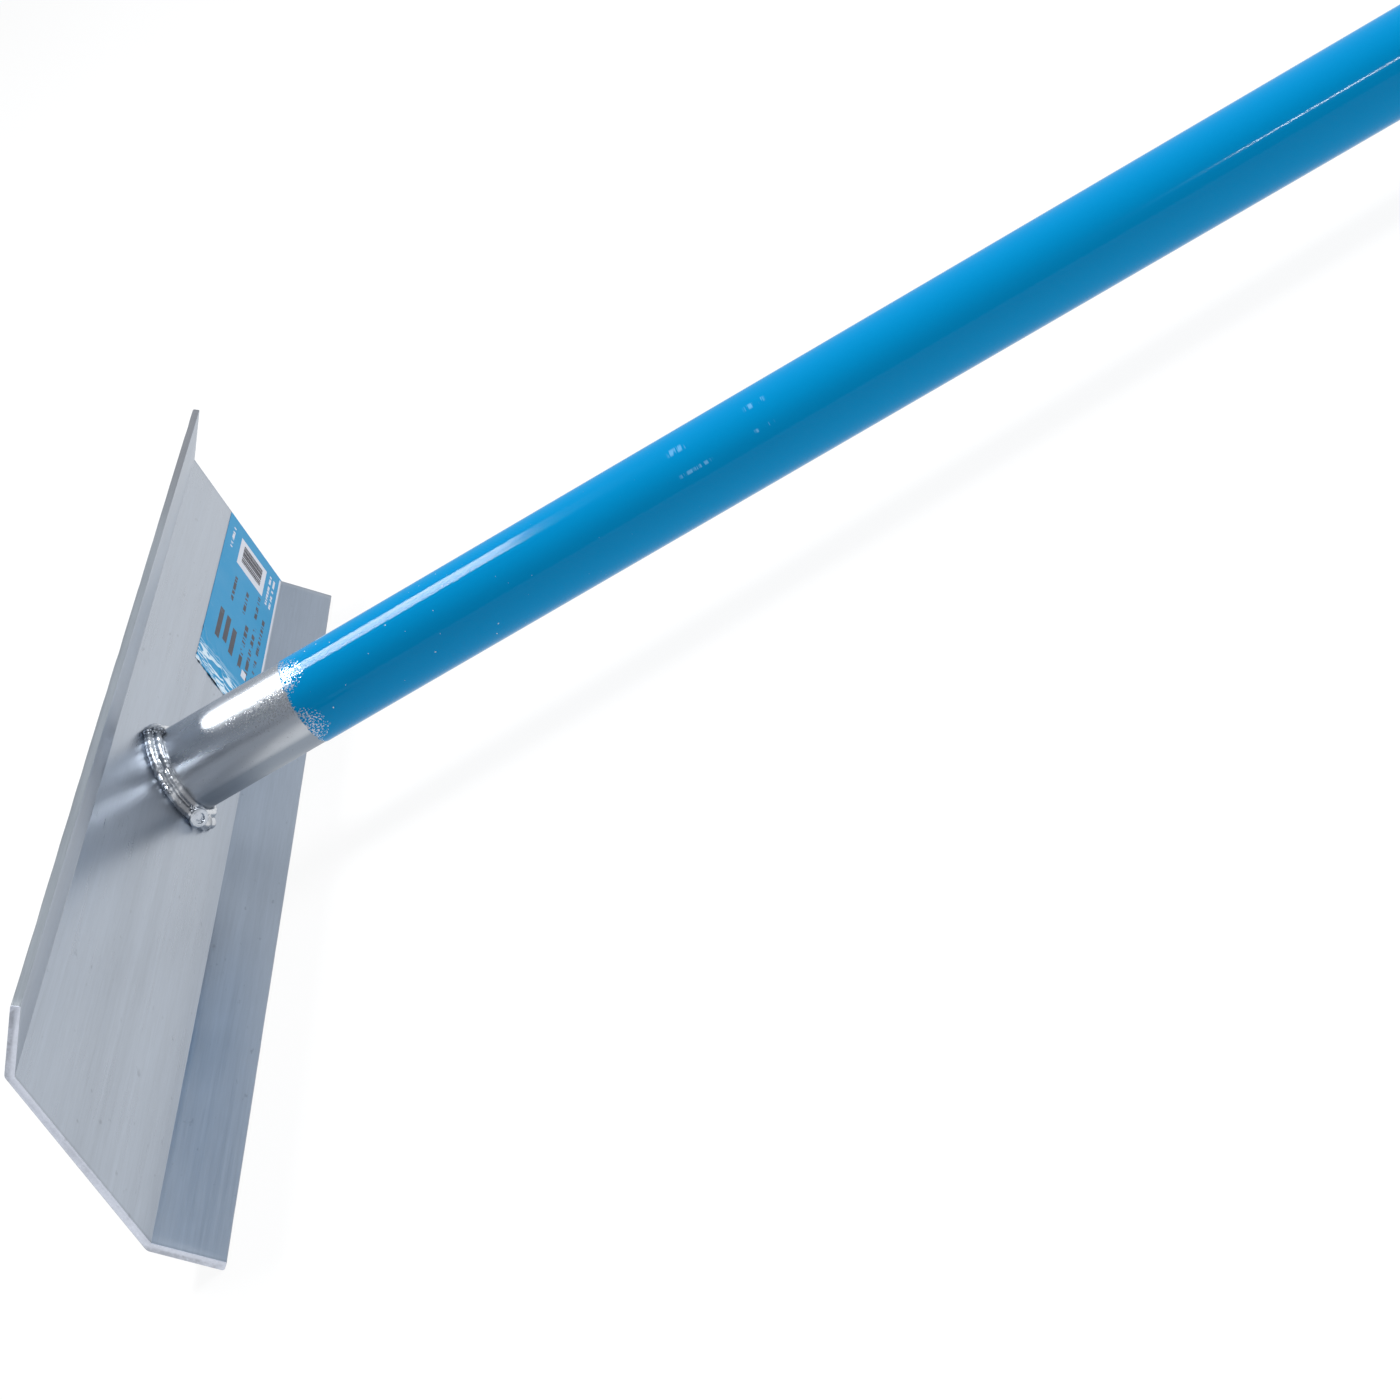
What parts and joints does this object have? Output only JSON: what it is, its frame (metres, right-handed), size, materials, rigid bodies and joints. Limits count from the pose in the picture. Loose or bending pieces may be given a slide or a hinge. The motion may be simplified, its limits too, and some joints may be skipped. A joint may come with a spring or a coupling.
{
  "type": "concrete placer",
  "caption": "Folded aluminium blade with a long round tube handle welded square to its face, for pushing, pulling and spreading wet concrete.",
  "frame": {"origin": "centre of the flat back face of the blade, on the handle's axis", "axes": "+Y runs along the handle from the blade to the grip, +X along the blade, +Z across the blade towards its upper lip"},
  "size_m": [0.495, 1.3788, 0.1008],
  "materials": {
    "blade_sheet": "satin",
    "bare_tube": "satin",
    "powder_coat": "gloss",
    "weld_metal": "satin",
    "grip_rubber": "matte",
    "label_vinyl": "satin"
  },
  "bodies": {
    "root": {"blade": "blade_sheet", "handle_tube": "bare_tube", "handle_coating": "powder_coat", "weld_bead": "weld_metal", "hand_grip": "grip_rubber", "blade_label": "label_vinyl"}
  },
  "joints": []
}
